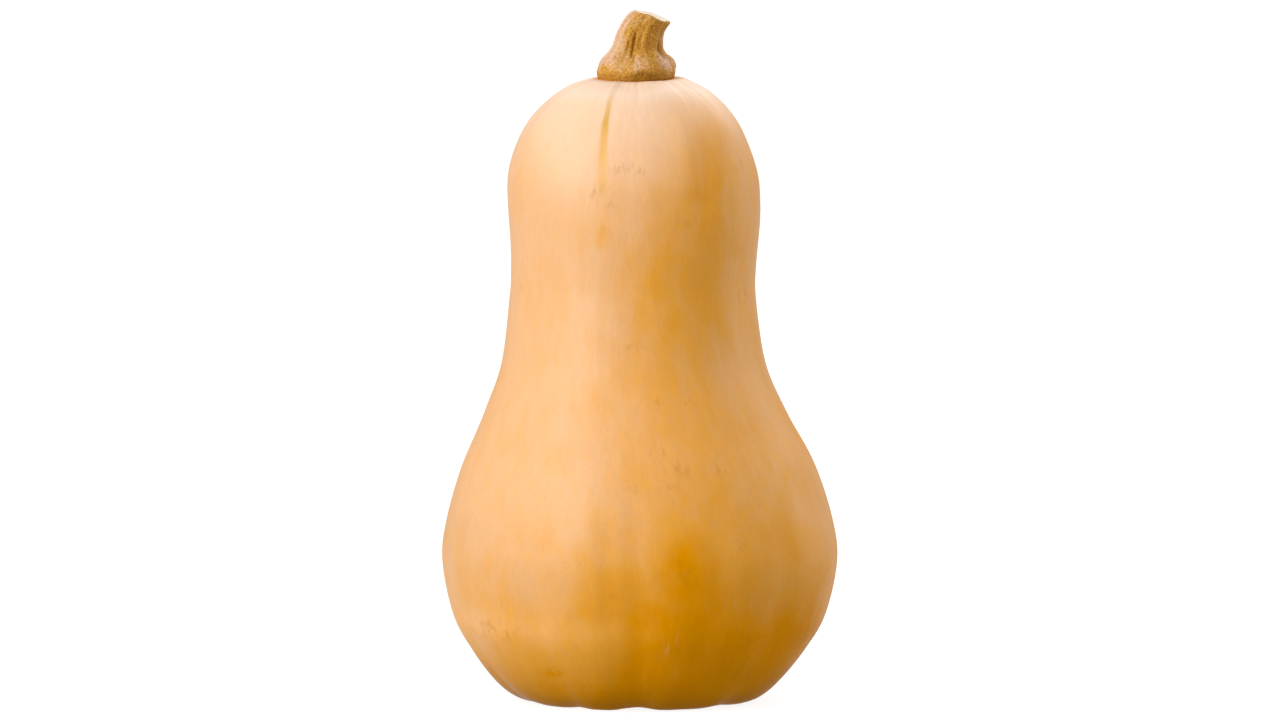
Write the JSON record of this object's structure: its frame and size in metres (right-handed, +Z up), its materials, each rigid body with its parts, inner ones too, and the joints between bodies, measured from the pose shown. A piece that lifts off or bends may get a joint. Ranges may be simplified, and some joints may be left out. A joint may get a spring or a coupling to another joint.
{
  "type": "butternut squash",
  "caption": "Whole butternut squash: a round, faintly ribbed bulb, a long thick neck and a short cut stem. A fresh vegetable that stands on its blossom end.",
  "frame": {"origin": "on the surface that the squash stands on, under the middle of its outline", "axes": "+Z up along the squash's height, from the blossom end to the stem; -Y is its front; +X is to the right seen from the front"},
  "size_m": [0.1314, 0.1284, 0.2309],
  "materials": {
    "rind": "satin",
    "cork": "matte"
  },
  "bodies": {
    "root": {"fruit": "rind", "stem": "cork"}
  },
  "joints": []
}
